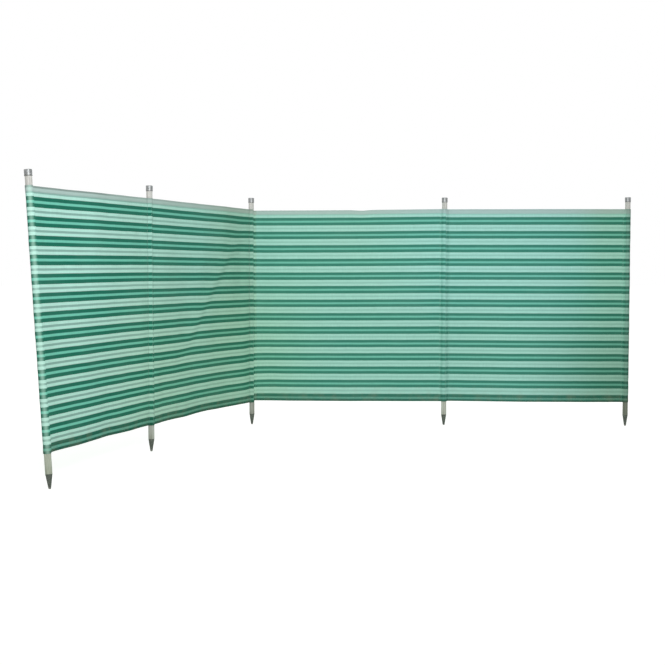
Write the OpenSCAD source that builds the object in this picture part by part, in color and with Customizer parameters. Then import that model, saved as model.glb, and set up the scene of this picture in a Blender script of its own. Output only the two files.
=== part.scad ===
// Beach windbreak: a striped cotton screen in four bays, held up by five wooden poles and set up in an L.
// All lengths are millimetres. The origin is the blunt foot of the corner pole, +X runs along the right
// wing and +Z is up. The sheltered side of the L faces -Y.

/* [Layout] */
// Distance from the corner pole to each middle pole
inner_bay = 1205; // [800:5:1500]
// Distance from each middle pole to its end pole
outer_bay = 1130; // [800:5:1500]
// Turn of the left wing at the corner pole, counted from a straight row
corner_turn = 69; // [0:1:85]
// Further turn of the left outer bay at its middle pole
left_turn = 8; // [-40:1:85]
// Lean of the left end pole, away from the sheltered side
left_lean = 3.5; // [-6:0.5:6]

/* [Poles] */
// Diameter of the round wooden poles
pole_d = 32; // [22:1:44]
// Length of pole and tip that shows below the cloth
foot_show = 146; // [110:1:350]
// Length of pole and cap that shows above the cloth
head_show = 74; // [50:1:150]

/* [Tips] */
// Length of the tapered steel tip
tip_len = 68; // [40:1:90]
// Diameter of the blunt end of the tip
tip_end_d = 12; // [6:1:18]
// Diameter of the spigot that holds the tip in the pole
spigot_d = 12; // [8:1:16]
// Length of that spigot
spigot_len = 45; // [25:1:80]

/* [Caps] */
// Length of the steel cap over the head of a pole
cap_len = 30; // [15:1:40]
// Wall of the cap
cap_wall = 2; // [1:0.25:4]
// Thickness of the top of the cap
cap_top = 3; // [2:0.25:6]
// Bevel around the top of the cap
cap_bevel = 2; // [0.5:0.25:3]

/* [Cloth] */
// Height of the cloth from hem to hem
cloth_h = 1200; // [800:10:1500]
// Thickness of the cloth
cloth_t = 2; // [1:0.25:4]
// Height of the folded hems along the top and bottom edges
hem_h = 24; // [12:1:50]
// Thickness that a folded hem or a seam adds on each side
hem_fold = 0.6; // [0.2:0.1:2]

/* [Pockets] */
// Wall of the cloth pocket around a pole
pocket_wall = 1.2; // [0.8:0.1:3]
// Width of the flat seam between a pocket and its panel
seam_w = 14; // [8:1:30]
// Wall of the lap by which a hinged panel holds on to a pocket
lap_wall = 1.2; // [0.8:0.1:3]
// Angle around the pocket that a lap covers
lap_angle = 140; // [60:5:160]

/* [Clearances] */
// Gap between a pole and its pocket
pole_gap = 0.3; // [0.1:0.1:1]
// Gap between a pocket and the lap that turns on it
lap_gap = 0.3; // [0.1:0.1:1]
// Gap around the head of a pole in its cap, and around a spigot in its pole
fit_gap = 0.2; // [0.05:0.05:0.5]

/* [Hidden] */
$fn = 96;
twist_slices = 24;
wood_colour = [0.76, 0.74, 0.69];
steel_colour = [0.52, 0.54, 0.55];
cloth_colour = [0.42, 0.68, 0.60];

pole_r = pole_d / 2;
cloth_top = foot_show + cloth_h;
pole_len = cloth_top + head_show;
cap_r = pole_r + fit_gap + cap_wall;
seam_t = cloth_t + 2 * hem_fold;
pocket_r_in = pole_r + pole_gap;
pocket_r = pocket_r_in + pocket_wall;
pocket_mid_r = pocket_r - pocket_wall / 2;
seam_end = pocket_r + seam_w;
lap_r_in = pocket_r + lap_gap;
lap_mid_r = lap_r_in + lap_wall / 2;
// Length by which a cut runs past the face that it opens
cut_past = 1;

// Places of the poles. On the left wing, +x of each place runs on along the wing, away from the corner.
module left_wing() rotate([0, 0, 180 + corner_turn]) children();
module at_left_mid() left_wing() translate([inner_bay, 0, 0]) children();
module left_outer_wing() at_left_mid() rotate([0, 0, left_turn]) children();
module at_left_end() left_outer_wing() translate([outer_bay, 0, 0]) rotate([left_lean, 0, 0]) children();
module at_right_mid() translate([inner_bay, 0, 0]) children();
module at_right_end() translate([inner_bay + outer_bay, 0, 0]) children();

// Round wooden shaft, bored at its lower end for the tip's spigot
module pole() {
    color(wood_colour)
    difference() {
        translate([0, 0, tip_len])
            cylinder(h = pole_len - cap_top - tip_len, r = pole_r);
        translate([0, 0, tip_len - cut_past])
            cylinder(h = spigot_len + fit_gap + cut_past, d = spigot_d + 2 * fit_gap);
    }
}

// Tapered steel point with a blunt end, and the spigot that goes up into the pole
module tip() {
    color(steel_colour)
    union() {
        cylinder(h = tip_len, d1 = tip_end_d, d2 = pole_d);
        translate([0, 0, tip_len - cut_past])
            cylinder(h = spigot_len + cut_past, d = spigot_d);
    }
}

// Bevelled steel cup that sits on the head of the pole
module cap() {
    color(steel_colour)
    translate([0, 0, pole_len - cap_len])
    difference() {
        union() {
            cylinder(h = cap_len - cap_bevel, r = cap_r);
            translate([0, 0, cap_len - cap_bevel])
                cylinder(h = cap_bevel, r1 = cap_r, r2 = cap_r - cap_bevel);
        }
        translate([0, 0, -cut_past])
            cylinder(h = cap_len - cap_top + cut_past, r = pole_r + fit_gap);
    }
}

// Cloth tube around a pole, with a flat seam on its +x side that a panel is sewn to
module pocket() {
    color(cloth_colour)
    translate([0, 0, foot_show])
    union() {
        difference() {
            cylinder(h = cloth_h, r = pocket_r);
            translate([0, 0, -cut_past])
                cylinder(h = cloth_h + 2 * cut_past, r = pocket_r_in);
        }
        translate([pocket_mid_r, -seam_t / 2, 0])
            cube([seam_end - pocket_mid_r, seam_t, cloth_h]);
    }
}

// Upright section through the cloth, with its two folded hems
module cloth_section() {
    translate([-cloth_t / 2, foot_show])
        square([cloth_t, cloth_h]);
    for (hem_bottom = [foot_show, cloth_top - hem_h])
        translate([-seam_t / 2, hem_bottom])
            square([seam_t, hem_h]);
}

// Cloth from one x to another, turning about the x axis on the way to a leaning far end
module sheet(from_x, to_x, lean = 0) {
    translate([from_x, 0, 0])
    rotate([90, 0, 90])
        linear_extrude(height = to_x - from_x, twist = -lean,
                       slices = lean == 0 ? 1 : twist_slices, segments = twist_slices)
            cloth_section();
}

// Strip of cloth that reaches part of the way around a pocket and turns on it
module lap() {
    rotate([0, 0, -lap_angle / 2])
        rotate_extrude(angle = lap_angle)
            translate([lap_r_in, foot_show])
                square([lap_wall, cloth_h]);
}

// Panel sewn at both ends to the seams of the pockets on its own poles
module fixed_panel(bay) {
    color(cloth_colour)
        sheet(seam_end, bay - seam_end);
}

// Panel that turns on the pocket at its near end and is sewn to the seam at its far end
module hinged_panel(bay, lean = 0) {
    color(cloth_colour)
    union() {
        lap();
        sheet(lap_mid_r, bay - seam_end, lean);
    }
}

// Left end pole, which leans
module left_end_pole() at_left_end() pole();
module left_end_cap() at_left_end() cap();
module left_end_tip() at_left_end() tip();
module left_end_pocket() at_left_end() rotate([0, 0, 180]) pocket();

// Left middle pole
module left_mid_pole() at_left_mid() pole();
module left_mid_cap() at_left_mid() cap();
module left_mid_tip() at_left_mid() tip();
module left_mid_pocket() at_left_mid() rotate([0, 0, 180]) pocket();

// Corner pole
module corner_pole() pole();
module corner_cap() cap();
module corner_tip() tip();
module corner_pocket() pocket();

// Right middle pole
module right_mid_pole() at_right_mid() pole();
module right_mid_cap() at_right_mid() cap();
module right_mid_tip() at_right_mid() tip();
module right_mid_pocket() at_right_mid() rotate([0, 0, 180]) pocket();

// Right end pole
module right_end_pole() at_right_end() pole();
module right_end_cap() at_right_end() cap();
module right_end_tip() at_right_end() tip();
module right_end_pocket() at_right_end() rotate([0, 0, 180]) pocket();

// Cloth panels
module left_outer_panel() left_outer_wing() hinged_panel(outer_bay, left_lean);
module left_inner_panel() left_wing() hinged_panel(inner_bay);
module right_inner_panel() fixed_panel(inner_bay);
module right_outer_panel() at_right_mid() hinged_panel(outer_bay);

left_end_pole();
left_end_cap();
left_end_tip();
left_end_pocket();
left_mid_pole();
left_mid_cap();
left_mid_tip();
left_mid_pocket();
corner_pole();
corner_cap();
corner_tip();
corner_pocket();
right_mid_pole();
right_mid_cap();
right_mid_tip();
right_mid_pocket();
right_end_pole();
right_end_cap();
right_end_tip();
right_end_pocket();
left_outer_panel();
left_inner_panel();
right_inner_panel();
right_outer_panel();
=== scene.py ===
# Beach windbreak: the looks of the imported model, in metres and in its own frame
import math

import bpy
import numpy as np
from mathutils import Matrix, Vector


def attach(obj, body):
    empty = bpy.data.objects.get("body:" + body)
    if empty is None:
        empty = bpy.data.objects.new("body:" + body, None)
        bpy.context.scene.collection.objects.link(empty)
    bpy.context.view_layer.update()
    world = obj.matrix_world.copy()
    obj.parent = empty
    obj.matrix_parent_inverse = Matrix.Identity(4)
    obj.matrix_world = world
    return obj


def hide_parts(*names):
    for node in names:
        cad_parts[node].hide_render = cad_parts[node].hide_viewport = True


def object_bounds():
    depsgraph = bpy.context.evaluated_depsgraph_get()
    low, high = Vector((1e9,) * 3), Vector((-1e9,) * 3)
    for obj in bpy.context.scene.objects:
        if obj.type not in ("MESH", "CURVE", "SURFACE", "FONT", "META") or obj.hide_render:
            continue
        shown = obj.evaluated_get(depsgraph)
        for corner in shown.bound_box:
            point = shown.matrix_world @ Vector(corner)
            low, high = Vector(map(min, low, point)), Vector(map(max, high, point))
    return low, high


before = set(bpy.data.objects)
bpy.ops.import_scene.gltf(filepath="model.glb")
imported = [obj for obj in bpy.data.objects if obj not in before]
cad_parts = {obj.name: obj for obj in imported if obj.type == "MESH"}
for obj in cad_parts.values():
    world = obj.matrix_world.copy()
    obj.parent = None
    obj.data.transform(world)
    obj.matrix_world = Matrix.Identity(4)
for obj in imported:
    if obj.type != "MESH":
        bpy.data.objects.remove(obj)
cad_low, cad_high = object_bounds()

# Sizes of the CAD model that the cloth and the fittings have to meet
MM = 0.001
INNER_BAY = 1205 * MM
OUTER_BAY = 1130 * MM
LEFT_HEADING = math.radians(249)
LEFT_OUTER_HEADING = math.radians(257)
LEFT_LEAN = math.radians(3.5)
LEFT_MID_XY = (INNER_BAY * math.cos(LEFT_HEADING), INNER_BAY * math.sin(LEFT_HEADING))
FOOT_SHOW = 146 * MM
CLOTH_H = 1200 * MM
POLE_R = 16 * MM
POLE_LEN = 1420 * MM
TIP_LEN = 68 * MM
TIP_END_R = 6 * MM
CAP_R = 18.2 * MM
CAP_BORE_R = 16.2 * MM
CAP_LEN = 30 * MM
CAP_TOP = 3 * MM

# How the cloth is cut and sewn: half thicknesses, and places counted from the axis of a pole
CLOTH_HALF = 0.4 * MM
SLEEVE_MID_R = 16.9 * MM
SLEEVE_HALF = 0.45 * MM
SLEEVE_NIP = 19.5 * MM
TAIL_END = 31.5 * MM
FLAP_MID_R = 18.45 * MM
FLAP_HALF = 0.42 * MM
FLAP_NIP = 24 * MM
FLAP_END = 34 * MM
FLAP_REACH = math.radians(70)
LEG_Y = 0.95 * MM
LEG_PAST_NIP = 1.5 * MM
TUCK = 8 * MM
HEM_FOLD = 0.8 * MM
HEM_BACK = 0.2 * MM
SLEEVE_FOLD = 0.2 * MM
STRIPE_PERIOD = 85.4 * MM
SLEEVE_JOG = 0.8 * MM

# Stitching: size of a stitch, and where the rows of stitches run
STITCH_LEN = 4.2 * MM
STITCH_STEP = 5.6 * MM
STITCH_R = 0.38 * MM
STITCH_LIFT = 0.1 * MM
BEAD_RINGS = (0.2, 0.8)
HEM_STITCH = 20.5 * MM
HEM_STITCH_INSET = 11 * MM
UPRIGHT_INSET = 6 * MM
TAIL_STITCHES = (23.0 * MM, 28.5 * MM)
FLAP_STITCH = 29.5 * MM
FLAP_EDGE_INSET = 3.5 * MM

# Angles in degrees above which an edge stays sharp
CLOTH_SHARP = 40
THREAD_SHARP = 80
STEEL_SHARP = 35


# Soft steps and colours
def smooth(t):
    """Soft step from 0 to 1."""
    t = np.clip(t, 0.0, 1.0)
    return t * t * (3.0 - 2.0 * t)


def rising(value, start, reach):
    """Soft step from 0 at start to 1 a reach further on."""
    return smooth((value - start) / reach)


def falling(value, end, reach):
    """Soft step down to 0 at end, from 1 a reach before it."""
    return smooth((end - value) / reach)


def hump(value, centre, width):
    """Bell curve of height 1."""
    return np.exp(-(((value - centre) / width) ** 2))


def linear(red, green, blue):
    """Linear colour of an sRGB colour given from 0 to 255."""
    out = []
    for part in (red, green, blue):
        c = part / 255
        out.append(c / 12.92 if c <= 0.04045 else ((c + 0.055) / 1.055) ** 2.4)
    return (*out, 1.0)


# Mesh building
class Shells:
    """Closed shells that are collected for the mesh of one piece."""

    def __init__(self):
        self.points = []
        self.uvs = []
        self.wear_and_highlight = []
        self.tone = []
        self.faces = []
        self.count = 0

    def add(self, points, uvs, wear_and_highlight, tone, faces):
        for face in faces:
            self.faces.extend((face + self.count).tolist())
        self.points.append(points.reshape(-1, 3))
        self.uvs.append(uvs.reshape(-1, 2))
        self.wear_and_highlight.append(wear_and_highlight.ravel())
        self.tone.append(tone.ravel())
        self.count += points.size // 3


def grid_faces(index, flip):
    """Quads of a grid of point numbers."""
    corners = [index[:-1, :-1], index[:-1, 1:], index[1:, 1:], index[1:, :-1]]
    if flip:
        corners = corners[::-1]
    return np.stack(corners, axis=-1).reshape(-1, 4)


def add_ribbon(shells, plus, minus, uv, wear_and_highlight, tone):
    """Closed thin shell between two skins, each rows by columns of points; plus is left of the path."""
    rows, columns = plus.shape[:2]
    front = np.arange(rows * columns).reshape(rows, columns)
    back = front + rows * columns
    faces = [
        grid_faces(front, True),
        grid_faces(back, False),
        grid_faces(np.stack([front[:, 0], back[:, 0]], axis=1), False),
        grid_faces(np.stack([front[:, -1], back[:, -1]], axis=1), True),
        grid_faces(np.stack([front[0], back[0]], axis=0), False),
        grid_faces(np.stack([front[-1], back[-1]], axis=0), True),
    ]
    points = np.concatenate([plus.reshape(-1, 3), minus.reshape(-1, 3)])
    uvs = np.concatenate([uv.reshape(-1, 2), uv.reshape(-1, 2)])
    twice = [np.concatenate([values.ravel(), values.ravel()]) for values in (wear_and_highlight, tone)]
    shells.add(points, uvs, *twice, faces)


def add_beads(shells, starts, ends, normals):
    """One small closed bead of thread for each stitch."""
    along = ends - starts
    side = np.cross(normals, along)
    side /= np.linalg.norm(side, axis=1, keepdims=True)
    rings = []
    for share in BEAD_RINGS:
        centre = starts + along * share
        rings.append(centre + side * STITCH_R)
        rings.append(centre + normals * STITCH_R)
        rings.append(centre - side * STITCH_R)
        rings.append(centre - normals * STITCH_R)
    points = np.stack([starts, *rings, ends], axis=1)
    first = (np.arange(len(starts)) * points.shape[1])[:, None]
    faces = []
    for k in range(4):
        after = (k + 1) % 4
        faces.append(first + np.array([[0, 1 + after, 1 + k]]))
        faces.append(first + np.array([[1 + k, 1 + after, 5 + after, 5 + k]]))
        faces.append(first + np.array([[9, 5 + k, 5 + after]]))
    count = points.shape[0] * points.shape[1]
    shells.add(points, np.zeros((count, 2)), np.zeros(count), np.ones(count), faces)


def make_piece(name, shells, material, body, sharp=CLOTH_SHARP):
    """One object from its shells, smooth but for its sharp edges."""
    mesh = bpy.data.meshes.new(name)
    mesh.from_pydata(np.concatenate(shells.points).tolist(), [], shells.faces)
    layer = mesh.uv_layers.new(name="UVMap")
    corner = np.empty(len(mesh.loops), dtype=np.int32)
    mesh.loops.foreach_get("vertex_index", corner)
    layer.data.foreach_set("uv", np.concatenate(shells.uvs)[corner].astype(np.float32).ravel())
    for layer_name, values in (("wear_and_highlight", shells.wear_and_highlight), ("tone", shells.tone)):
        attribute = mesh.attributes.new(layer_name, "FLOAT", "POINT")
        attribute.data.foreach_set("value", np.concatenate(values).astype(np.float32))
    mesh.materials.append(material)
    mesh.shade_smooth()
    mesh.set_sharp_from_angle(angle=math.radians(sharp))
    mesh.update()
    piece = bpy.data.objects.new(name, mesh)
    bpy.context.scene.collection.objects.link(piece)
    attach(piece, body)
    return piece


# Node helpers
def add_node(tree, kind, inputs=None, **settings):
    """New node with its settings, and its inputs linked or set."""
    made = tree.nodes.new(kind)
    for key, value in settings.items():
        setattr(made, key, value)
    for key, value in (inputs or {}).items():
        if isinstance(value, bpy.types.NodeSocket):
            tree.links.new(value, made.inputs[key])
        else:
            made.inputs[key].default_value = value
    return made


def math_node(tree, operation, *values):
    made = add_node(tree, "ShaderNodeMath", dict(enumerate(values)), operation=operation)
    return made.outputs[0]


def mix_colour(tree, blend, factor, first, second):
    inputs = {0: factor, 6: first, 7: second}
    made = add_node(tree, "ShaderNodeMix", inputs, data_type="RGBA", blend_type=blend)
    return made.outputs[2]


def grey(tree, value):
    """Grey colour of a value."""
    return add_node(tree, "ShaderNodeCombineColor", {0: value, 1: value, 2: value}).outputs[0]


def span(tree, value, low, high, to_low=0.0, to_high=1.0):
    """Value mapped softly from low-high to to_low-to_high."""
    inputs = {0: value, 1: low, 2: high, 3: to_low, 4: to_high}
    made = add_node(tree, "ShaderNodeMapRange", inputs, interpolation_type="SMOOTHSTEP")
    return made.outputs[0]


def noise_of(tree, vector, scale, stretch=(1, 1, 1), detail=3.0, rough=0.55):
    """Noise in a stretched space."""
    mapping = add_node(tree, "ShaderNodeMapping", {"Vector": vector, "Scale": stretch})
    inputs = {"Vector": mapping.outputs[0], "Scale": scale, "Detail": detail, "Roughness": rough}
    return add_node(tree, "ShaderNodeTexNoise", inputs).outputs[0]


def bump_of(tree, height, strength, distance, normal=None):
    inputs = {"Height": height, "Strength": strength, "Distance": distance}
    if normal is not None:
        inputs["Normal"] = normal
    return add_node(tree, "ShaderNodeBump", inputs).outputs[0]


def object_place(tree):
    """Place in the piece's own frame, which is the model's frame at rest."""
    return add_node(tree, "ShaderNodeTexCoord").outputs["Object"]


def height_of(tree, place):
    return add_node(tree, "ShaderNodeSeparateXYZ", {0: place}).outputs[2]


def empty_material(name):
    material = bpy.data.materials.new(name)
    material.use_nodes = True
    material.node_tree.nodes.clear()
    return material, material.node_tree


def new_material(name):
    material, tree = empty_material(name)
    shader = add_node(tree, "ShaderNodeBsdfPrincipled")
    output = add_node(tree, "ShaderNodeOutputMaterial")
    tree.links.new(shader.outputs[0], output.inputs[0])
    return material, tree, shader


def dress(tree, shader, colour, rough, normal):
    """Link the colour, roughness and bump of a material to its shader."""
    tree.links.new(colour, shader.inputs["Base Color"])
    tree.links.new(rough, shader.inputs["Roughness"])
    tree.links.new(normal, shader.inputs["Normal"])


# Striped cotton cloth: UVs are metres along the row, below 0 on the left wing, and up from the lower edge
STRIPE_WIDTHS = (17.6, 12.2, 17.4, 14.0, 10.4, 13.8)
FRESH_DARK = linear(22, 106, 86)
FRESH_MID = linear(112, 200, 178)
FRESH_PALE = linear(184, 230, 217)
FRESH_GREY = linear(134, 175, 165)
FRESH_STRIPES = (FRESH_DARK, FRESH_MID, FRESH_DARK, FRESH_PALE, FRESH_GREY, FRESH_PALE)
OLD_DARK = linear(50, 121, 103)
OLD_MID = linear(112, 191, 172)
OLD_PALE = linear(170, 221, 208)
OLD_GREY = linear(153, 202, 189)
OLD_STRIPES = (OLD_DARK, OLD_MID, OLD_DARK, OLD_PALE, OLD_GREY, OLD_PALE)
STRIPE_ROUNDS = 14
STRIPE_SOFT = 0.012
STRIPE_WANDER = 1.6 * MM
BLEACH_START = -2.3
BLEACH_END = 0.2
ROUND_GUARD = 0.001
YARN_LOW = 0.86
YARN_HIGH = 1.14
WEAVE_PERIOD = 1.15 * MM
FADED = linear(165, 200, 186)
# pale rubbed cloth, also used to paint the highlight on the lit side of the end sleeves
RUBBED_AND_LIT = linear(190, 230, 215)
SAND = linear(150, 142, 118)

# Tints of the cloth, with painted light and painted shade among them, in the order they are laid on: blend,
# colour, and the soft spans that mask them
CLOTH_TINTS_LIGHT_AND_SHADE = {
    "sun_on_right_wing": (
        "MIX", linear(115, 176, 158),
        [("along", 2.3, 1.8, 0.04, 0.12), ("along", 0.0, 0.05)],
    ),
    "upper_hem": (
        "MIX", linear(174, 190, 187),
        [("up", CLOTH_H - 25 * MM, CLOTH_H - 19 * MM, 0.0, 0.8)],
    ),
    # painted shade: a thin darker grey line along the upper edge where the hem folds over
    "painted_shade_upper_edge": (
        "MIX", linear(110, 124, 118),
        [
            ("up", CLOTH_H - 7 * MM, CLOTH_H - 3 * MM),
            ("along", -1.75, -1.45, 0.66, 0.28),
            ("along", 0.0, 0.04, 1.0, 0.4),
        ],
    ),
    # painted shade: darker over the lowest few centimetres of the cloth, fading out upwards
    "painted_shade_lower_hem": (
        "MULTIPLY", linear(130, 120, 115),
        [("up", 22 * MM, 58 * MM, 0.42, 0.0)],
    ),
    # painted shade: darker and browner towards the lower right end, where less light reaches
    "painted_shade_lower_right_end": (
        "MULTIPLY", linear(148, 140, 118),
        [("along", 1.6, 2.35), ("up", 0.8, 0.1, 0.0, 0.36)],
    ),
    # painted shade: warmer and a little darker low down around the corner
    "painted_warm_shade_low_middle": (
        "MULTIPLY", linear(255, 250, 240),
        [("along", -2.0, -1.0), ("along", 0.6, 0.0), ("up", 1.0, 0.3)],
    ),
    # painted shade: a little darker and warmer on the left wing next to the corner
    "painted_shade_corner": (
        "MULTIPLY", linear(251, 247, 240),
        [("along", -0.7, -0.25), ("along", 0.03, 0.0), ("up", 0.2, 0.7, 0.4, 1.0)],
    ),
    # painted light: brighter and a little cooler on the upper left wing towards its end
    "painted_light_left_end": (
        "MULTIPLY", (1.06, 1.07, 1.10, 1.0),
        [("along", -1.2, -2.0), ("up", 0.35, 0.9)],
    ),
    # painted shade: a little darker on the lower middle of the right wing
    "painted_shade_right_wing": (
        "MULTIPLY", (0.94, 0.94, 0.935, 1.0),
        [("along", 0.15, 0.6), ("along", 1.7, 1.2), ("up", 0.95, 0.45, 0.4, 1.0)],
    ),
    # painted light: brighter and cooler on the upper right wing
    "painted_cool_light_right_wing": (
        "MULTIPLY", (1.0, 1.03, 1.085, 1.0),
        [("along", 0.6, 1.3), ("along", 2.2, 2.0), ("up", 0.35, 0.8, 0.2, 1.0)],
    ),
    # painted shade: darker and warmer at the right end
    "painted_shade_right_end": (
        "MULTIPLY", (0.92, 0.955, 0.90, 1.0),
        [("along", 1.85, 2.25)],
    ),
}


def stripe_ramp(tree, place, colours):
    """Colour ramp over one round of stripes, from the lower edge up."""
    ramp = add_node(tree, "ShaderNodeValToRGB", {0: place})
    total = sum(STRIPE_WIDTHS)
    stops = []
    edge = 0.0
    for width, colour in zip(STRIPE_WIDTHS, colours):
        start = edge / total
        edge += width
        stops.append((start + STRIPE_SOFT if start > 0 else 0.0, colour))
        stops.append((min(edge / total - STRIPE_SOFT, 1.0), colour))
    elements = ramp.color_ramp.elements
    while len(elements) < len(stops):
        elements.new(0.5)
    for element, (position, colour) in zip(elements, stops):
        element.position = position
        element.color = colour
    return ramp.outputs[0]


def stripes_of(tree, uv, along, up):
    """Woven stripes that wander a little, more bleached the further right."""
    wander = noise_of(tree, uv, 9.0, detail=2.0)
    wander = math_node(tree, "MULTIPLY_ADD", wander, STRIPE_WANDER, -STRIPE_WANDER / 2)
    place = math_node(tree, "DIVIDE", math_node(tree, "ADD", up, wander), STRIPE_PERIOD)
    place = math_node(tree, "MAXIMUM", place, ROUND_GUARD)
    place = math_node(tree, "MINIMUM", place, STRIPE_ROUNDS - ROUND_GUARD)
    place = math_node(tree, "FRACT", place)
    fresh = stripe_ramp(tree, place, FRESH_STRIPES)
    old = stripe_ramp(tree, place, OLD_STRIPES)
    bleached = span(tree, along, BLEACH_START, BLEACH_END)
    return mix_colour(tree, "MIX", bleached, fresh, old)


def yarn_of(tree, uv):
    """Uneven yarn of warp and weft, around 1."""
    warp = noise_of(tree, uv, 1.0, (14, 1500, 1), detail=2.0)
    weft = noise_of(tree, uv, 1.0, (1300, 16, 1), detail=2.0)
    return span(tree, math_node(tree, "ADD", warp, weft), 0.6, 1.4, YARN_LOW, YARN_HIGH)


def weave_of(tree, along, up):
    """Plain weave, from 0 to 1."""
    turn = 2 * math.pi / WEAVE_PERIOD
    waves_along = math_node(tree, "SINE", math_node(tree, "MULTIPLY", along, turn))
    waves_up = math_node(tree, "SINE", math_node(tree, "MULTIPLY", up, turn))
    weave = math_node(tree, "MULTIPLY", waves_along, waves_up)
    return math_node(tree, "MULTIPLY_ADD", weave, 0.5, 0.5)


def tinted_and_shaded(tree, colour, axes):
    """The colour with all the cloth's tints, painted light and painted shade laid on.

    A span has an axis, a start and an end in metres, and the strengths there where they aren't 0 and 1.
    """
    for blend, tint, spans in CLOTH_TINTS_LIGHT_AND_SHADE.values():
        mask = None
        for axis, *limits in spans:
            part = span(tree, axes[axis], *limits)
            mask = part if mask is None else math_node(tree, "MULTIPLY", mask, part)
        colour = mix_colour(tree, blend, mask, colour, tint)
    return colour


def painted_shade_and_wear(tree, colour, uv, up):
    """The colour with the painted shade of the sleeves and flaps, the sleeves' wear with its painted
    highlight, and a little sand stain at the foot.
    """
    # painted shade: per-point darkening of the sleeves and flaps
    tone = add_node(tree, "ShaderNodeAttribute", attribute_name="tone").outputs["Fac"]
    colour = mix_colour(tree, "MULTIPLY", 1.0, colour, grey(tree, tone))
    # wear of the seams and sleeves, which on the end sleeves also paints their highlight
    wear_and_highlight = add_node(tree, "ShaderNodeAttribute", attribute_name="wear_and_highlight").outputs["Fac"]
    uneven = span(tree, noise_of(tree, uv, 30.0), 0.3, 0.7, 0.7, 1.1)
    colour = mix_colour(tree, "MIX", math_node(tree, "MULTIPLY", wear_and_highlight, uneven), colour, RUBBED_AND_LIT)
    low = span(tree, up, 0.0, 0.13, 1.0, 0.0)
    patches = span(tree, noise_of(tree, uv, 16.0), 0.4, 0.75, 0.0, 0.22)
    return mix_colour(tree, "MIX", math_node(tree, "MULTIPLY", low, patches), colour, SAND)


def make_cloth():
    material, tree, shader = new_material("striped_cotton")
    uv = add_node(tree, "ShaderNodeUVMap", uv_map="UVMap").outputs[0]
    parts = add_node(tree, "ShaderNodeSeparateXYZ", {0: uv})
    along = parts.outputs[0]
    up = parts.outputs[1]

    yarn = yarn_of(tree, uv)
    colour = stripes_of(tree, uv, along, up)
    colour = mix_colour(tree, "MULTIPLY", 1.0, colour, grey(tree, yarn))
    faded = span(tree, noise_of(tree, uv, 2.3, detail=4.0), 0.42, 0.72, 0.0, 0.04)
    colour = mix_colour(tree, "MIX", faded, colour, FADED)
    colour = tinted_and_shaded(tree, colour, {"along": along, "up": up})
    colour = painted_shade_and_wear(tree, colour, uv, up)

    # Soft creases, slubs and plain weave
    creases = noise_of(tree, uv, 7.0, (1.0, 0.55, 1.0), detail=4.0, rough=0.5)
    normal = bump_of(tree, creases, 0.35, 12 * MM)
    normal = bump_of(tree, yarn, 0.25, 0.4 * MM, normal)
    normal = bump_of(tree, weave_of(tree, along, up), 0.22, 0.3 * MM, normal)
    rough = span(tree, yarn, YARN_LOW, YARN_HIGH, 0.95, 0.84)
    dress(tree, shader, colour, rough, normal)
    shader.inputs["Specular IOR Level"].default_value = 0.12
    shader.inputs["Sheen Weight"].default_value = 0.03
    shader.inputs["Sheen Roughness"].default_value = 0.5
    return material


# Twisted thread of the stitches
THREAD_DEEP = linear(128, 176, 160)
THREAD_PALE = linear(176, 214, 200)


def make_thread():
    material, tree, shader = new_material("sewing_thread")
    place = object_place(tree)
    twist = noise_of(tree, place, 900.0, detail=2.0)
    colour = mix_colour(tree, "MIX", span(tree, twist, 0.35, 0.65), THREAD_DEEP, THREAD_PALE)
    rough = span(tree, twist, 0.3, 0.7, 0.6, 0.8)
    dress(tree, shader, colour, rough, bump_of(tree, twist, 0.4, 0.3 * MM))
    return material


# Bare softwood, paler above and greener and darker below, with painted shade on each pole's foot
WOOD_PALE_LOW = linear(206, 213, 200)
WOOD_PALE_HIGH = linear(218, 218, 215)
WOOD_DEEP_LOW = linear(160, 168, 154)
WOOD_DEEP_HIGH = linear(174, 174, 171)
WOOD_BAND = linear(218, 218, 208)
WOOD_FLECK = linear(112, 114, 104)
WOOD_GRIME = linear(112, 114, 92)


def make_wood(name, foot_shade):
    material, tree, shader = new_material(name)
    place = object_place(tree)
    height = height_of(tree, place)
    grain = noise_of(tree, place, 1.0, (420, 420, 5), detail=5.0, rough=0.6)
    bands = noise_of(tree, place, 1.0, (120, 120, 2.2), detail=3.0)
    flecks = noise_of(tree, place, 1.0, (900, 900, 38), detail=2.0)
    height_share = span(tree, height, 0.10, 1.25)
    pale = mix_colour(tree, "MIX", height_share, WOOD_PALE_LOW, WOOD_PALE_HIGH)
    deep = mix_colour(tree, "MIX", height_share, WOOD_DEEP_LOW, WOOD_DEEP_HIGH)
    colour = mix_colour(tree, "MIX", span(tree, grain, 0.32, 0.68), deep, pale)
    colour = mix_colour(tree, "MULTIPLY", span(tree, bands, 0.5, 0.75, 0.0, 0.5), colour, WOOD_BAND)
    colour = mix_colour(tree, "MIX", span(tree, flecks, 0.64, 0.74, 0.0, 0.45), colour, WOOD_FLECK)
    over_tip = span(tree, height, 0.066, 0.11, 1.0, 0.0)
    grime = math_node(tree, "MULTIPLY", over_tip, span(tree, bands, 0.3, 0.7))
    colour = mix_colour(tree, "MIX", math_node(tree, "MULTIPLY", grime, 0.55), colour, WOOD_GRIME)
    # painted shade: the foot darkened by the pole's own shade colour
    shaded_foot = span(tree, height, 0.1, 0.6, 1.0, 0.0)
    colour = mix_colour(tree, "MULTIPLY", shaded_foot, colour, foot_shade)
    normal = bump_of(tree, grain, 0.4, 0.8 * MM)
    normal = bump_of(tree, flecks, 0.3, 0.6 * MM, normal)
    dress(tree, shader, colour, span(tree, grain, 0.3, 0.7, 0.78, 0.55), normal)
    shader.inputs["Specular IOR Level"].default_value = 0.35
    return material


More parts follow.
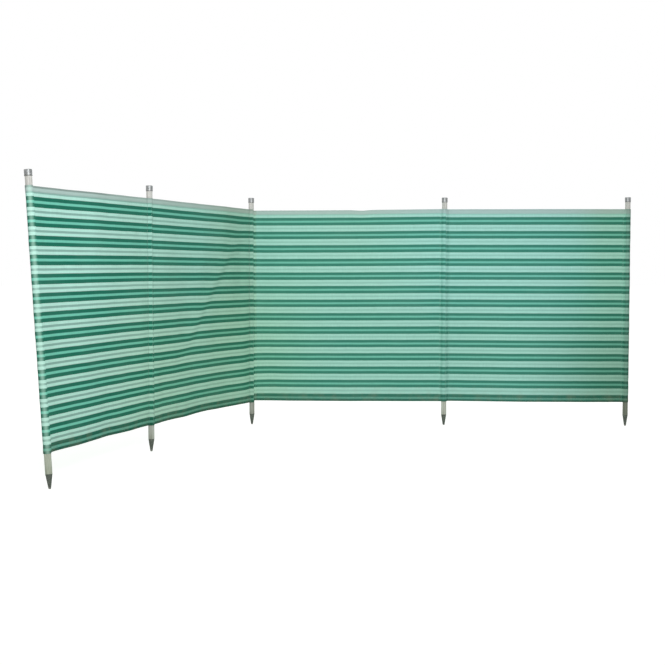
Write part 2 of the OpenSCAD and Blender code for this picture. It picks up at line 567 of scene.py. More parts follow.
# Bright but dulled steel of the caps
CAP_DEEP = linear(126, 129, 130)
CAP_PALE = linear(162, 164, 164)
CAP_SPOT = linear(74, 72, 66)
CAP_RIM = linear(70, 70, 66)
CAP_RIM_H = 5 * MM


def make_cap_steel():
    material, tree, shader = new_material("cap_steel")
    place = object_place(tree)
    height = height_of(tree, place)
    cloud = noise_of(tree, place, 160.0, detail=4.0)
    brushed = noise_of(tree, place, 1.0, (60, 60, 2600), detail=3.0)
    spots = noise_of(tree, place, 420.0, detail=2.0)
    colour = mix_colour(tree, "MIX", span(tree, cloud, 0.35, 0.7), CAP_DEEP, CAP_PALE)
    colour = mix_colour(tree, "MIX", span(tree, spots, 0.62, 0.72, 0.0, 0.6), colour, CAP_SPOT)
    rim_start = POLE_LEN - CAP_LEN
    rim = span(tree, height, rim_start, rim_start + CAP_RIM_H, 0.5, 0.0)
    colour = mix_colour(tree, "MIX", rim, colour, CAP_RIM)
    normal = bump_of(tree, brushed, 0.05, 0.2 * MM)
    normal = bump_of(tree, cloud, 0.08, 0.5 * MM, normal)
    dress(tree, shader, colour, span(tree, cloud, 0.3, 0.75, 0.42, 0.6), normal)
    shader.inputs["Metallic"].default_value = 1.0
    return material


# Dark scuffed steel of the tips, rubbed bright at the blunt end
TIP_DEEP = linear(64, 70, 64)
TIP_PALE = linear(98, 104, 96)
TIP_SCORE = linear(140, 142, 136)
TIP_BRIGHT = linear(158, 158, 152)
TIP_BRIGHT_H = 12 * MM


def make_tip_steel():
    material, tree, shader = new_material("tip_steel")
    place = object_place(tree)
    height = height_of(tree, place)
    cloud = noise_of(tree, place, 120.0, detail=5.0)
    scores = noise_of(tree, place, 1.0, (700, 700, 30), detail=3.0)
    colour = mix_colour(tree, "MIX", span(tree, cloud, 0.35, 0.7), TIP_DEEP, TIP_PALE)
    colour = mix_colour(tree, "MIX", span(tree, scores, 0.6, 0.74, 0.0, 0.7), colour, TIP_SCORE)
    at_end = span(tree, height, 0.0, TIP_BRIGHT_H, 1.0, 0.0)
    bright = math_node(tree, "MULTIPLY", at_end, span(tree, scores, 0.35, 0.6))
    colour = mix_colour(tree, "MIX", bright, colour, TIP_BRIGHT)
    normal = bump_of(tree, scores, 0.25, 0.6 * MM)
    normal = bump_of(tree, cloud, 0.3, 1.0 * MM, normal)
    dress(tree, shader, colour, span(tree, cloud, 0.3, 0.7, 0.42, 0.66), normal)
    shader.inputs["Metallic"].default_value = 0.75
    return material


cloth = make_cloth()
thread = make_thread()
cap_steel = make_cap_steel()
tip_steel = make_tip_steel()


# Slack of the cloth: how far it stands off its plane, with x along the bay from its near pole
OPEN_RAMP = 0.11


def window(x, length, ramp=OPEN_RAMP):
    """1 in the open cloth of a bay, 0 where it is sewn at its ends."""
    return rising(x, FLAP_END, ramp) * falling(x, length - FLAP_END, ramp)


def waves(x, up, terms):
    """Sum of slow waves, each height, turns along, turns up and phase."""
    out = 0.0
    for height, turns_along, turns_up, phase in terms:
        out = out + height * np.sin(2 * math.pi * (turns_along * x + turns_up * up) + phase)
    return out


def belly(x, up, length, depth, kept, skew=1.0):
    """Belly of a bay to its right; kept is the share of it that is left at the upper edge."""
    share = np.clip(x / length, 0.0, 1.0)
    low = kept + (1.0 - kept) * smooth(1.0 - up / CLOTH_H)
    return -depth * np.sin(math.pi * share ** skew) * low


def left_outer_slack(x, up):
    hang = belly(x, up, OUTER_BAY, depth=10 * MM, kept=0.5)
    terms = [(3.5 * MM, 1.45, 0.35, 0.6), (1.6 * MM, 3.1, -0.8, 2.1), (0.8 * MM, 5.2, 1.3, 0.3)]
    return window(x, OUTER_BAY) * (hang + waves(x, up, terms))


def right_inner_slack(x, up):
    hang = belly(x, up, INNER_BAY, depth=12 * MM, kept=0.6)
    terms = [(3.0 * MM, 1.2, 0.3, 1.2), (1.6 * MM, 2.9, -0.6, 0.2), (0.8 * MM, 5.5, 1.4, 2.2)]
    return window(x, INNER_BAY) * (hang + waves(x, up, terms))


def right_outer_slack(x, up):
    hang = belly(x, up, OUTER_BAY, depth=24 * MM, kept=0.6, skew=1.15)
    terms = [(2.6 * MM, 1.5, -0.3, 0.5), (1.4 * MM, 3.0, 0.7, 1.7), (0.8 * MM, 5.3, -1.2, 0.9)]
    return window(x, OUTER_BAY) * (hang + waves(x, up, terms))


# Crease across the left inner bay, from high at its near pole to low at its far end
CREASE_HIGH = 1.05
CREASE_LOW = 0.30
CREASE_LENGTH = 0.95
CREASE_WIDTH = 0.05
CREASE_DEPTH = 5.0 * MM
CREASE_FOOT = 0.28
CREASE_FOOT_FADE = 0.2
CREASE_HEAD = 1.02
CREASE_HEAD_FADE = 0.12
DEEP_BELLY = 40 * MM
DEEP_SKEW = 0.9
DEEP_END = 0.92
DEEP_FADE = 0.5


def over_crease(x, up):
    """Height over the crease's line, in widths of its fold."""
    line = CREASE_HIGH - (CREASE_HIGH - CREASE_LOW) * smooth(x / CREASE_LENGTH)
    return (up - line) / CREASE_WIDTH


def crease_fold(x, up):
    """Shallow fold along the crease, which fades out at its ends."""
    off = over_crease(x, up)
    reach = rising(up, CREASE_FOOT, CREASE_FOOT_FADE) * falling(up, CREASE_HEAD, CREASE_HEAD_FADE)
    return CREASE_DEPTH * off * np.exp(-0.5 * off * off) * reach


def left_inner_slack(x, up):
    share = np.clip(x / INNER_BAY, 0.0, 1.0)
    low = falling(up / CLOTH_H, DEEP_END, DEEP_FADE)
    hang = -DEEP_BELLY * np.sin(math.pi * share ** DEEP_SKEW) ** 2 * low
    terms = [(4.0 * MM, 1.3, 0.30, 2.4), (2.0 * MM, 2.7, -0.7, 0.4), (0.9 * MM, 5.0, 1.1, 1.3)]
    return window(x, INNER_BAY) * (hang + waves(x, up, terms) + crease_fold(x, up))


# Levels of the cloth: how far its edges and stripes rise and fall within a bay
HEM_HOLD = 0.10
RIPPLE = [(1.2 * MM, 2.1, 0.0, 0.6)]
RIPPLE_TOP = 0.16
SAG_NEAR = 1.2 * MM
SAG_GROWTH = 5.6 * MM
SAG_POWER = 0.8
NEAR_FOOT_RISE = 3.0 * MM
NEAR_FOOT_TOP = 0.4
NEAR_FOOT_FADE = 0.3
NEAR_FOOT_END = 0.45
NEAR_FOOT_REACH = 0.4
CREASE_SAG = 2.6 * MM
CREASE_RISE = 2.0 * MM
CREASE_DIP = 1.6 * MM
CREASE_DIP_AT = 1.6
CREASE_DIP_WIDTH = 1.5
CORNER_RISE = 3.6 * MM
CORNER_REACH = 0.12
CORNER_TOP = 0.8
CORNER_FADE = 0.5
CORNER_HOLD = 0.45
DRAWN_RISE = 5.0 * MM
DRAWN_RISE_TOP = 0.5
DRAWN_SAG = 1.6 * MM
DRAWN_SAG_FOOT = 0.3
DRAWN_FADE = 0.4
MIDDLE_SAG = 2 * MM
HEM_DIP = 4 * MM
HEM_DIP_AT = 0.69
HEM_DIP_WIDTH = 0.045
HEM_DIP_FOOT = 1.12
HEM_DIP_FADE = 0.08


def between_hems(up):
    """1 in the open cloth, 0 at the upper and lower edge."""
    return rising(up, 0.0, HEM_HOLD) * falling(up, CLOTH_H, HEM_HOLD)


def rippled_level(x, up):
    """Small rise and fall of the lower hem that fades out upwards."""
    return waves(x, up, RIPPLE) * falling(up, RIPPLE_TOP, RIPPLE_TOP)


def sagging_level(x, up):
    """The rippled hem, and cloth that sags between its hems, more so at the far end."""
    share = np.clip(x / OUTER_BAY, 0.0, 1.0)
    arch = np.sin(math.pi * np.clip(up / CLOTH_H, 0.0, 1.0)) ** SAG_POWER
    sag = (SAG_NEAR + SAG_GROWTH * share) * arch
    near_foot = falling(up, NEAR_FOOT_TOP, NEAR_FOOT_FADE) * falling(x, NEAR_FOOT_END, NEAR_FOOT_REACH)
    return rippled_level(x, up) - sag + NEAR_FOOT_RISE * near_foot * between_hems(up)


def creased_level(x, up):
    """The rippled hem, and cloth that hangs lower above the crease and is drawn up at the corner."""
    off = over_crease(x, up)
    above = 0.5 + 0.5 * np.tanh(off)
    drawn = CREASE_RISE - (CREASE_RISE + CREASE_SAG) * above
    dip = CREASE_DIP * hump(off, CREASE_DIP_AT, CREASE_DIP_WIDTH) * window(x, INNER_BAY)
    corner = falling(x, CORNER_REACH, CORNER_REACH) * falling(up, CORNER_TOP, CORNER_FADE)
    return rippled_level(x, up) + (drawn - dip + CORNER_RISE * corner) * between_hems(up)


def drawn_level(x, up):
    """Cloth that is drawn up a little over its lower hem and sags a little higher up."""
    rise = DRAWN_RISE * falling(up, DRAWN_RISE_TOP, DRAWN_FADE)
    sag = DRAWN_SAG * rising(up, DRAWN_SAG_FOOT, DRAWN_FADE)
    return (rise - sag) * between_hems(up)


def dipped_level(x, up):
    """The drawn cloth with a slight sag, held back at the corner, and a small dip in the upper hem."""
    sag = MIDDLE_SAG * np.sin(math.pi * np.clip(x / INNER_BAY, 0.0, 1.0)) * up / CLOTH_H
    dip = HEM_DIP * hump(x, HEM_DIP_AT, HEM_DIP_WIDTH) * rising(up, HEM_DIP_FOOT, HEM_DIP_FADE)
    held = 1.0 - CORNER_HOLD * falling(x, CORNER_REACH, CORNER_REACH)
    return held * drawn_level(x, up) - sag - dip


# Bays: x runs along the bay from its near pole, y is the left-hand normal, z is up
class Bay:
    """One bay between two poles.

    Its sheltered side is to its left where side is 1, and to its right where side is -1. The stripes' jog
    and the rises of the top and foot edges at the near and far end are in millimetres.
    """

    def __init__(
        self, poles, origin, heading, length, row_start, side, jog, slack, unlevel, top, foot,
        hinged=True, flap_shade=0.0, lean=0.0,
    ):
        self.poles = poles
        self.origin = origin
        self.heading = heading
        self.length = length
        self.row_start = row_start
        self.side = side
        self.jog = jog * MM
        self.slack = slack
        self.unlevel = unlevel
        self.top = top
        self.foot = foot
        self.hinged = hinged
        self.flap_shade = flap_shade
        self.lean = lean

    def place(self, x, y, z):
        """Points of the bay's own frame in the row frame; the far end may lean."""
        start = FLAP_MID_R
        share = np.clip((x - start) / (self.length - TAIL_END - start), 0.0, 1.0)
        tilt = self.lean * share
        across = y * np.cos(tilt) - z * np.sin(tilt)
        height = y * np.sin(tilt) + z * np.cos(tilt)
        c = math.cos(self.heading)
        s = math.sin(self.heading)
        row_x = self.origin[0] + x * c - across * s
        row_y = self.origin[1] + x * s + across * c
        return np.stack([row_x, row_y, height], axis=-1)

    def level(self, x, up):
        """Height of the cloth: each edge is raised by so many millimetres at its near and far end."""
        share = np.clip(x / self.length, 0.0, 1.0)
        top = self.top[0] + (self.top[1] - self.top[0]) * share
        foot = self.foot[0] + (self.foot[1] - self.foot[0]) * share
        raised = MM * (top * up + foot * (CLOTH_H - up)) / CLOTH_H
        return FOOT_SHOW + up + raised + self.unlevel(x, up)

    def cloth_uv(self, x, up):
        """Metres along the whole row, below 0 on the left wing, and up with this bay's stripe jog."""
        return np.stack([self.row_start - self.side * x, up + self.jog], axis=-1)

    def surface(self, x, up, off):
        """Points of the cloth at x along and up above the lower edge, off to the left of its middle."""
        return self.place(x, self.slack(x, up) + off, self.level(x, up))

    def ends(self):
        """Where the open cloth starts and ends, tucked into its seams."""
        start = (FLAP_END if self.hinged else TAIL_END) - TUCK
        return start, self.length - TAIL_END + TUCK


# Each bay by the name of its body
BAYS = {
    "left_outer": Bay(
        ("left_mid", "left_end"), LEFT_MID_XY, LEFT_OUTER_HEADING, OUTER_BAY,
        row_start=-INNER_BAY, side=1, jog=4.0, slack=left_outer_slack, unlevel=sagging_level,
        top=(6.5, 3.0), foot=(-3.0, 13.0), flap_shade=0.14, lean=LEFT_LEAN,
    ),
    "left_inner": Bay(
        ("corner", "left_mid"), (0.0, 0.0), LEFT_HEADING, INNER_BAY,
        row_start=0.0, side=1, jog=4.0, slack=left_inner_slack, unlevel=creased_level,
        top=(2.0, 6.5), foot=(-6.0, -3.5), flap_shade=0.14,
    ),
    "right_inner": Bay(
        ("corner", "right_mid"), (0.0, 0.0), 0.0, INNER_BAY,
        row_start=0.0, side=-1, jog=3.0, slack=right_inner_slack, unlevel=dipped_level,
        top=(-5.0, 3.0), foot=(5.0, 3.5), hinged=False,
    ),
    "right_outer": Bay(
        ("right_mid", "right_end"), (INNER_BAY, 0.0), 0.0, OUTER_BAY,
        row_start=INNER_BAY, side=-1, jog=5.5, slack=right_outer_slack, unlevel=drawn_level,
        top=(1.5, 1.0), foot=(6.0, 2.0), flap_shade=0.04,
    ),
}

# Rows and columns of the cloth's points, close together at the hems and the seams
HEM_ROWS = np.array([0.0, 0.3, 1.0, 4.0, 9.0, 14.0, 19.0, 23.6, 24.2, 29.0]) * MM
HEM_SHAPE = np.array([0.1, 0.7, 1.0, 1.0, 1.0, 1.0, 1.0, 1.0, 0.0, 0.0])
EDGE_SHAPE = np.array([0.45, 0.85] + [1.0] * 8)
SEAM_COLUMNS = np.array([0.0, 4.0, 8.5, 10.0, 14.0, 20.0]) * MM
OPEN_INSET = 28 * MM
OPEN_COLUMNS = 122
HEM_CLEAR = 8.5 * MM
HEM_CLEAR_FADE = 1.5 * MM
SEAM_WEAR = 0.015
SEAM_WEAR_REACH = 0.03


def cloth_rows(margin, count):
    """Heights of the rows, and at each how far the hem is folded and the edge is full."""
    middle = np.linspace(margin, CLOTH_H - margin, count)
    rows = np.concatenate([HEM_ROWS, middle, CLOTH_H - HEM_ROWS[::-1]])
    hem = np.concatenate([HEM_SHAPE, np.zeros(count), HEM_SHAPE[::-1]])
    edge = np.concatenate([EDGE_SHAPE, np.ones(count), EDGE_SHAPE[::-1]])
    return rows, hem[:, None], edge[:, None]


PANEL_ROWS, PANEL_HEM, PANEL_EDGE = cloth_rows(margin=37 * MM, count=126)
SLEEVE_ROWS, SLEEVE_HEM, SLEEVE_EDGE = cloth_rows(margin=42 * MM, count=86)


def add_panel(shells, bay):
    """The open cloth of a bay, with its two hems folded to the sheltered side."""
    start, end = bay.ends()
    middle = np.linspace(start + OPEN_INSET, end - OPEN_INSET, OPEN_COLUMNS)
    xs = np.concatenate([start + SEAM_COLUMNS, middle, end - SEAM_COLUMNS[::-1]])
    x, up = np.meshgrid(xs, PANEL_ROWS)
    near_clear = rising(x, start + HEM_CLEAR, HEM_CLEAR_FADE)
    far_clear = falling(x, end - HEM_CLEAR, HEM_CLEAR_FADE)
    hem = PANEL_HEM * near_clear * far_clear
    base = CLOTH_HALF * PANEL_EDGE
    fold = base + HEM_FOLD * hem
    plain = base + HEM_BACK * hem
    plus_off = fold if bay.side > 0 else plain
    minus_off = plain if bay.side > 0 else fold
    plus = bay.surface(x, up, plus_off)
    minus = bay.surface(x, up, -minus_off)
    wear_and_highlight = SEAM_WEAR * (1.0 - window(x, bay.length, SEAM_WEAR_REACH))
    add_ribbon(shells, plus, minus, bay.cloth_uv(x, up), wear_and_highlight, np.ones_like(wear_and_highlight))


# Sleeves and flaps: paths in plan around a pole, with the bay towards +x
def path_normals(path):
    """Left-hand normals along a path in plan."""
    step = np.gradient(path, axis=0)
    normal = np.stack([-step[:, 1], step[:, 0]], axis=1)
    return normal / np.linalg.norm(normal, axis=1, keepdims=True)


def path_lengths(path):
    """Length along a path up to each of its points."""
    step = np.linalg.norm(np.diff(path, axis=0), axis=1)
    return np.concatenate([[0.0], np.cumsum(step)])


def straight(start, end, count):
    """Points from start on towards end, without end."""
    return np.linspace(start, end, count, endpoint=False)


def arc(radius, start, end, count):
    angle = np.linspace(start, end, count)
    return np.stack([radius * np.cos(angle), radius * np.sin(angle)], axis=1)


def mirrored(path):
    """The path on the other side of the bay's plane, walked backwards."""
    return path[::-1] * np.array([1.0, -1.0])


def sleeve_path():
    """Loop of a sleeve, from one leg of its flat tail round the pole to the other leg."""
    lean = math.acos(SLEEVE_MID_R / SLEEVE_NIP)
    leg_start = (SLEEVE_NIP + LEG_PAST_NIP, -LEG_Y)
    round_part = arc(SLEEVE_MID_R, -lean, lean - 2 * math.pi, count=61)
    leg = straight((TAIL_END, -LEG_Y), leg_start, count=7)
    rise = straight(leg_start, round_part[0], count=4)
    half = np.concatenate([leg, rise])
    return np.concatenate([half, round_part, mirrored(half)])


def flap_path(upper):
    """One flap of a hinged panel, from the pole's side to the end of its leg, or back."""
    lean = math.acos(FLAP_MID_R / FLAP_NIP)
    leg_start = (FLAP_NIP + LEG_PAST_NIP, LEG_Y)
    round_part = arc(FLAP_MID_R, FLAP_REACH, lean, count=14)
    slope = straight(round_part[-1], leg_start, count=5)[1:]
    leg = np.linspace(leg_start, (FLAP_END, LEG_Y), num=6)
    path = np.concatenate([round_part, slope, leg])
    return path if upper else mirrored(path)


FLAP_CUT = float(path_lengths(flap_path(True))[-1])
LOOP_SHARE = 0.72
LOOP_FADE = 0.2
PUCKER_BASE = 0.55
RUB_AND_HIGHLIGHT_WIDTH = 34.0
SHADE_WIDTH = 38.0


def wrapped_skin(bay, path, off, up, far=False):
    """Skin of cloth along a path around the bay's near or far pole, off to the path's left."""
    normal = path_normals(path)
    x = path[None, :, 0] + normal[None, :, 0] * off
    y = path[None, :, 1] + normal[None, :, 1] * off
    sign = -1.0 if far else 1.0
    axis_x = bay.length if far else 0.0
    level = bay.level(np.full_like(x, axis_x), up)
    return bay.place(axis_x + sign * x, sign * y, level)


def add_sleeve(shells, bay, pole):
    """Cloth loop around a pole, sewn flat to the end of a panel."""
    path = sleeve_path()
    reach = path_lengths(path)
    middle = reach[-1] / 2
    around = falling(np.abs(reach - middle) / middle, LOOP_SHARE, LOOP_FADE)[None, :]
    spread, up = np.meshgrid(reach - middle, SLEEVE_ROWS)
    terms = [
        (0.40, 6.0, 3.1, pole.seed), (0.35, -9.0, 7.3, pole.seed * 2.1),
        (0.25, 14.0, 12.7, pole.seed * 3.7), (0.20, -22.0, 21.0, pole.seed * 1.3),
    ]
    pucker = np.maximum(pole.loose * around * (PUCKER_BASE + waves(spread, up, terms)), 0.0)
    half = SLEEVE_HALF * SLEEVE_EDGE
    fold = SLEEVE_FOLD * SLEEVE_HEM * around
    outer = wrapped_skin(bay, path, pucker + half + fold, up, pole.far)
    inner = wrapped_skin(bay, path, pucker - half, up, pole.far)
    axis_x = bay.length if pole.far else 0.0
    uv = bay.cloth_uv(spread + axis_x, up + SLEEVE_JOG)
    turned = np.degrees((middle - reach) / SLEEVE_MID_R)
    # rubbed band, placed where the light falls so that it also paints the sleeve's highlight
    rub_and_highlight = pole.rub_and_highlight * hump(turned, pole.rub_and_highlight_at, RUB_AND_HIGHLIGHT_WIDTH)
    # painted shade: the whole loop darkened, and more on its shaded side
    shade = pole.loop_shade * around[0] + pole.shade * hump(turned, pole.shade_at, SHADE_WIDTH)
    wear_and_highlight = np.repeat(rub_and_highlight[None, :], len(SLEEVE_ROWS), axis=0)
    tone = 1.0 - np.repeat(shade[None, :], len(SLEEVE_ROWS), axis=0)
    add_ribbon(shells, outer, inner, uv, wear_and_highlight, tone)


def add_flaps(shells, bay):
    """The two flaps by which a hinged panel holds on to the sleeve at its near end."""
    for upper in (True, False):
        path = flap_path(upper)
        reach, up = np.meshgrid(path_lengths(path), PANEL_ROWS)
        outer = wrapped_skin(bay, path, FLAP_HALF * PANEL_EDGE, up)
        inner = wrapped_skin(bay, path, -FLAP_HALF * PANEL_EDGE, up)
        # painted shade: the flaps darkened evenly
        tone = np.full(up.shape, 1.0 - bay.flap_shade)
        add_ribbon(shells, outer, inner, bay.cloth_uv(reach, up), np.zeros(up.shape), tone)


# Rows of stitches that follow the cloth
def stitch_spans(start, end):
    firsts = np.arange(start, end - STITCH_LEN, STITCH_STEP)
    return firsts, firsts + STITCH_LEN


def sew(shells, starts, ends, outs):
    """Beads from starts to ends, lifted off the cloth towards the points outs over the starts."""
    normal = outs - starts
    normal /= np.linalg.norm(normal, axis=1, keepdims=True)
    lift = normal * STITCH_LIFT
    add_beads(shells, starts + lift, ends + lift, normal)


def sew_hems(shells, bay):
    start, end = bay.ends()
    firsts, lasts = stitch_spans(start + HEM_STITCH_INSET, end - HEM_STITCH_INSET)
    for up in (HEM_STITCH, CLOTH_H - HEM_STITCH):
        level = np.full_like(firsts, up)
        for side in (1, -1):
            thick = CLOTH_HALF + (HEM_FOLD if side == bay.side else HEM_BACK)
            starts = bay.surface(firsts, level, side * thick)
            ends = bay.surface(lasts, level, side * thick)
            outs = bay.surface(firsts, level, side * (thick + MM))
            sew(shells, starts, ends, outs)


def sew_upright(shells, bay, x, y, out_x, out_y):
    """An upright row at one place in plan of the bay's frame, with the direction out of the cloth there."""
    firsts, lasts = stitch_spans(UPRIGHT_INSET, CLOTH_H - UPRIGHT_INSET)

    def at(plan_x, plan_y, up):
        here = np.full_like(up, plan_x)
        return bay.place(here, np.full_like(up, plan_y), bay.level(here, up))

    outs = at(x + out_x * MM, y + out_y * MM, firsts)
    sew(shells, at(x, y, firsts), at(x, y, lasts), outs)


def sew_tail(shells, bay, far):
    for reach in TAIL_STITCHES:
        x = bay.length - reach if far else reach
        for side in (1, -1):
            sew_upright(shells, bay, x, side * (LEG_Y + SLEEVE_HALF), 0.0, side)


def sew_flaps(shells, bay):
    edge = FLAP_REACH - FLAP_EDGE_INSET / FLAP_MID_R
    radius = FLAP_MID_R + FLAP_HALF
    for side in (1, -1):
        sew_upright(shells, bay, FLAP_STITCH, side * (LEG_Y + FLAP_HALF), 0.0, side)
        out_x = math.cos(edge)
        out_y = side * math.sin(edge)
        sew_upright(shells, bay, radius * out_x, radius * out_y, out_x, out_y)


# Poles, with the wear, painted highlight and painted shade of their sleeves and the painted shade of their
# feet
class Pole:
    """One pole and its sleeve; the sleeve's rubbed band, which also paints its highlight, and its painted
    shade are placed in degrees from the middle of the loop, and the foot's painted shade is a colour that
    darkens the lower pole.
    """

    def __init__(
        self, bay, far, loose, seed, foot_shade,
        rub_and_highlight=0.0, rub_and_highlight_at=0.0, loop_shade=0.0, shade=0.0, shade_at=0.0,
    ):
        self.bay = bay
        self.far = far
        self.loose = loose
        self.seed = seed
        self.foot_shade = foot_shade
        self.rub_and_highlight = rub_and_highlight
        self.rub_and_highlight_at = rub_and_highlight_at
        self.loop_shade = loop_shade
        self.shade = shade
        self.shade_at = shade_at


LOOSE_END = 0.9 * MM
LOOSE_INNER = 0.22 * MM
POLES = {
    "left_end": Pole(
        "left_outer", True, LOOSE_END, 1.7, linear(240, 242, 238),
        rub_and_highlight=0.46, rub_and_highlight_at=32, shade=0.45, shade_at=-66,
    ),
    "left_mid": Pole("left_inner", True, LOOSE_INNER, 0.4, linear(228, 226, 230), loop_shade=0.12),
    "corner": Pole("right_inner", False, LOOSE_INNER, 2.9, linear(205, 203, 206), loop_shade=0.12),
    "right_mid": Pole("right_inner", True, LOOSE_INNER, 4.1, linear(255, 250, 255), loop_shade=0.04),
    "right_end": Pole(
        "right_outer", True, LOOSE_END, 5.3, linear(156, 158, 152),
        rub_and_highlight=0.05, rub_and_highlight_at=-100, loop_shade=0.26, shade=0.25, shade_at=-12,
    ),
}

# Cloth of each bay, the sleeves that move with it, and their stitching
for name, bay in BAYS.items():
    stitches = Shells()
    panel = Shells()
    add_panel(panel, bay)
    sew_hems(stitches, bay)
    start_x, end_x = bay.ends()
    cut = end_x - start_x
    if bay.hinged:
        add_flaps(panel, bay)
        sew_flaps(stitches, bay)
        cut += 2 * FLAP_CUT
    panel_piece = make_piece(name + "_cloth", panel, cloth, name)
    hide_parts(name + "_panel")
    for pole_name, pole in POLES.items():
        if pole.bay != name:
            continue
        tube = Shells()
        add_sleeve(tube, bay, pole)
        sew_tail(stitches, bay, pole.far)
        tube_piece = make_piece(pole_name + "_sleeve", tube, cloth, name)
        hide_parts(pole_name + "_pocket")
    stitch_piece = make_piece(name + "_stitching", stitches, thread, name, THREAD_SHARP)

# Turned fittings: closed lathe shapes around each pole's own axis, slightly dented
TURNED_SIDES = 72
DENT_LOBES = 3
DENT_WAVES = 90.0
DENT_SEED_STEP = 1.3
CAP_DENT = 0.004
TIP_DENT = 0.008


def add_turned(shells, profile, bay, axis_x, dent, seed):
    """Closed shape from a profile of radius and height that starts and ends on the axis."""
    profile = np.array(profile)
    rows = len(profile)
    angle = np.linspace(0.0, 2 * math.pi, TURNED_SIDES, endpoint=False)
    turn, height = np.meshgrid(angle, profile[:, 1])
    radius = np.repeat(profile[:, :1], TURNED_SIDES, axis=1)
    radius = radius * (1.0 + dent * np.sin(DENT_LOBES * turn + seed) * np.sin(DENT_WAVES * height + seed))
    ring = bay.place(axis_x + radius * np.cos(turn), radius * np.sin(turn), height)
    ends = bay.place(np.full(2, axis_x), np.zeros(2), profile[[0, -1], 1])
    points = np.concatenate([ring[1:-1].reshape(-1, 3), ends])
    index = np.arange((rows - 2) * TURNED_SIDES).reshape(rows - 2, TURNED_SIDES)
    index = np.concatenate([index, index[:, :1]], axis=1)
    first = (rows - 2) * TURNED_SIDES
    last = first + 1
    bottom = np.stack([index[0, 1:], index[0, :-1], np.full(TURNED_SIDES, first)], axis=1)
    top = np.stack([index[-1, :-1], index[-1, 1:], np.full(TURNED_SIDES, last)], axis=1)
    blank = np.zeros((len(points), 2))
    shells.add(points, blank, blank[:, 0], blank[:, 0], [grid_faces(index, False), bottom, top])


def rounded(corner_r, corner_z, size, turn_from, turn_to, steps=5):
    """Points of a rounded corner of a profile."""
    out = []
    for k in range(steps + 1):
        angle = math.radians(turn_from + (turn_to - turn_from) * k / steps)
        out.append((corner_r + size * math.cos(angle), corner_z + size * math.sin(angle)))
    return out


CAP_ROUND = 2.2 * MM
CAP_LIP = 0.8 * MM
CAP_NECK_R = CAP_R - 0.25 * MM
CAP_INNER_TOP = POLE_LEN - CAP_TOP
CAP_BOTTOM = POLE_LEN - CAP_LEN
CAP_PROFILE = (
    [(0.0, CAP_INNER_TOP), (CAP_BORE_R - MM, CAP_INNER_TOP), (CAP_BORE_R, CAP_INNER_TOP - MM)]
    + [(CAP_BORE_R, CAP_BOTTOM + 6 * MM), (CAP_BORE_R, CAP_BOTTOM + CAP_LIP)]
    + rounded(CAP_R - CAP_LIP, CAP_BOTTOM + CAP_LIP, CAP_LIP, -150, 0)
    + [(CAP_R, CAP_BOTTOM + 3 * MM), (CAP_NECK_R, CAP_BOTTOM + 4 * MM)]
    + [(CAP_NECK_R, CAP_BOTTOM + 14 * MM), (CAP_R - 0.15 * MM, POLE_LEN - CAP_ROUND - 3 * MM)]
    + rounded(CAP_R - CAP_ROUND - 0.1 * MM, POLE_LEN - CAP_ROUND - 0.5 * MM, CAP_ROUND, 0, 80)
    + [(CAP_R - 6 * MM, POLE_LEN - 0.2 * MM), (CAP_R * 0.35, POLE_LEN - 0.05 * MM), (0.0, POLE_LEN)]
)
TIP_ROUND = 1.4 * MM
TIP_SHOULDER = POLE_R - 0.1 * MM
TIP_PROFILE = (
    [(0.0, 0.0), (TIP_END_R - 1.6 * MM, 0.0)]
    + rounded(TIP_END_R - TIP_ROUND, TIP_ROUND, TIP_ROUND, -80, -8)
    + [(TIP_END_R + 2.6 * MM, 18 * MM), (TIP_END_R + 5.2 * MM, 35 * MM)]
    + [(TIP_END_R + 7.7 * MM, 51 * MM), (TIP_SHOULDER - 1.2 * MM, 59 * MM)]
    + [(TIP_SHOULDER - 0.35 * MM, 63 * MM), (TIP_SHOULDER, 66 * MM)]
    + [(TIP_SHOULDER - 0.1 * MM, 67.6 * MM), (TIP_SHOULDER - 0.5 * MM, TIP_LEN), (0.0, TIP_LEN)]
)
FITTINGS = (
    ("cap", CAP_PROFILE, cap_steel, CAP_DENT),
    ("tip", TIP_PROFILE, tip_steel, TIP_DENT),
)

for number, (pole_name, pole) in enumerate(POLES.items()):
    bay = BAYS[pole.bay]
    axis_x = bay.length if pole.far else 0.0
    for part, profile, material, dent in FITTINGS:
        shells = Shells()
        add_turned(shells, profile, bay, axis_x, dent, DENT_SEED_STEP * number)
        piece = make_piece(pole_name + "_steel_" + part, shells, material, pole.bay, STEEL_SHARP)
        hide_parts(pole_name + "_" + part)
    wood = make_wood(pole_name + "_wood", pole.foot_shade)
    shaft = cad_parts[pole_name + "_pole"]
    for material_slot in shaft.material_slots:
        material_slot.material = wood

# Pale floor and white surroundings
WHITE = (1.0, 1.0, 1.0, 1.0)
FLOOR_GREY = (0.8, 0.8, 0.8, 1.0)
FLOOR_BOUNCE = (0.8, 0.8, 0.79, 1.0)
FLOOR_GLOW = 0.62
FLOOR_HALF = 60.0
FLOOR_GAP = 0.5 * MM
AMBIENT = 0.52
AMBIENT_COLOUR = (1.0, 1.0, 0.95, 1.0)


def ray_mask(tree):
    """1 for what the camera sees, straight, mirrored or through glass."""
    path = add_node(tree, "ShaderNodeLightPath")
    seen = math_node(tree, "MAXIMUM", path.outputs["Is Camera Ray"], path.outputs["Is Glossy Ray"])
    return math_node(tree, "MAXIMUM", seen, path.outputs["Is Transmission Ray"])


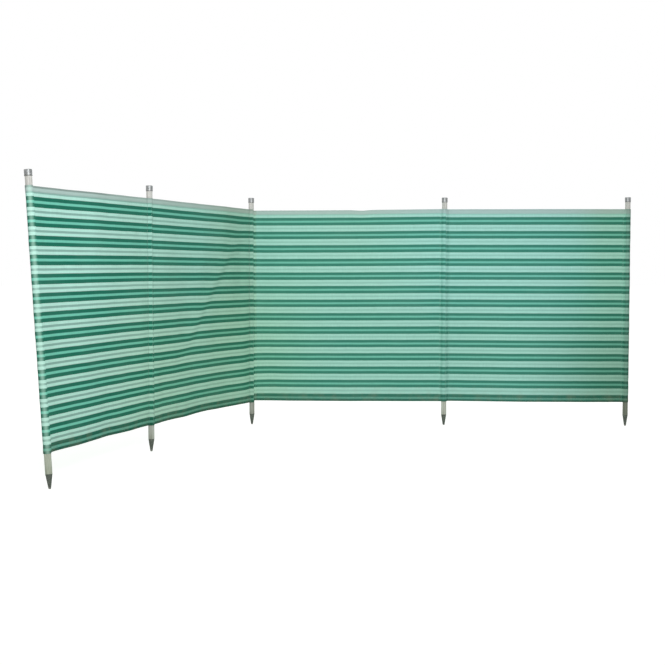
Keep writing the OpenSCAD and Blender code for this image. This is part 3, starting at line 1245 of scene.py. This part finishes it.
def make_floor(height):
    """Wide floor that looks white where no shadow falls, and lights the object as plain grey."""
    material, tree = empty_material("pale_floor")
    bounced = add_node(tree, "ShaderNodeBsdfDiffuse", {"Color": FLOOR_BOUNCE})
    shaded = add_node(tree, "ShaderNodeBsdfDiffuse", {"Color": FLOOR_GREY})
    glow = add_node(tree, "ShaderNodeEmission", {"Color": WHITE, "Strength": FLOOR_GLOW})
    seen = add_node(tree, "ShaderNodeAddShader", {0: shaded.outputs[0], 1: glow.outputs[0]})
    inputs = {0: ray_mask(tree), 1: bounced.outputs[0], 2: seen.outputs[0]}
    mixed = add_node(tree, "ShaderNodeMixShader", inputs)
    output = add_node(tree, "ShaderNodeOutputMaterial")
    tree.links.new(mixed.outputs[0], output.inputs[0])
    half = FLOOR_HALF
    mesh = bpy.data.meshes.new("floor")
    corners = [(-half, -half, height), (half, -half, height), (half, half, height), (-half, half, height)]
    mesh.from_pydata(corners, [], [(0, 1, 2, 3)])
    mesh.materials.append(material)
    floor = bpy.data.objects.new("floor", mesh)
    bpy.context.scene.collection.objects.link(floor)


def make_world():
    world = bpy.data.worlds.new("white_room")
    world.use_nodes = True
    bpy.context.scene.world = world
    tree = world.node_tree
    tree.nodes.clear()
    lighting = add_node(tree, "ShaderNodeBackground", {"Color": AMBIENT_COLOUR, "Strength": AMBIENT})
    white = add_node(tree, "ShaderNodeBackground", {"Color": WHITE, "Strength": 1.0})
    inputs = {0: ray_mask(tree), 1: lighting.outputs[0], 2: white.outputs[0]}
    mixed = add_node(tree, "ShaderNodeMixShader", inputs)
    output = add_node(tree, "ShaderNodeOutputWorld")
    tree.links.new(mixed.outputs[0], output.inputs[0])


def area_light(name, place, target, size, power, spread=180):
    """Square soft light at a place, aimed at a target."""
    lamp = bpy.data.lights.new(name, "AREA")
    lamp.shape = "SQUARE"
    lamp.size = size
    lamp.energy = power
    lamp.spread = math.radians(spread)
    holder = bpy.data.objects.new(name, lamp)
    holder.location = place
    aim = np.array(target) - np.array(place)
    flat = math.hypot(aim[0], aim[1])
    holder.rotation_euler = (math.atan2(flat, -aim[2]), 0.0, math.atan2(aim[1], aim[0]) - math.pi / 2)
    holder.visible_camera = False
    bpy.context.scene.collection.objects.link(holder)


make_floor(cad_low.z - FLOOR_GAP)
make_world()
area_light("key", (0.75, -5.4, 2.3), (0.5, -0.7, 0.95), size=1.4, power=37.0, spread=92)
area_light("right_fill", (1.9, -5.0, 2.2), (1.3, 0.0, 1.1), size=1.0, power=0.7, spread=40)
area_light("back_fill", (1.0, 4.5, 3.2), (0.6, -0.6, 0.7), size=3.0, power=60.0)

# Camera at the photograph's place
CAMERA_PLACE = (0.7254, -7.4332, 0.9799)
CAMERA_DOWN = 3.079
CAMERA_TURN = 1.678
SENSOR_WIDTH = 36.0
LENS = 64.344
camera_data = bpy.data.cameras.new("camera")
camera_data.sensor_fit = "HORIZONTAL"
camera_data.sensor_width = SENSOR_WIDTH
camera_data.lens = LENS
camera = bpy.data.objects.new("camera", camera_data)
camera.location = CAMERA_PLACE
camera.rotation_euler = (math.radians(90 - CAMERA_DOWN), 0.0, math.radians(CAMERA_TURN))
bpy.context.scene.collection.objects.link(camera)
bpy.context.scene.camera = camera
bpy.context.scene.view_settings.view_transform = "Standard"
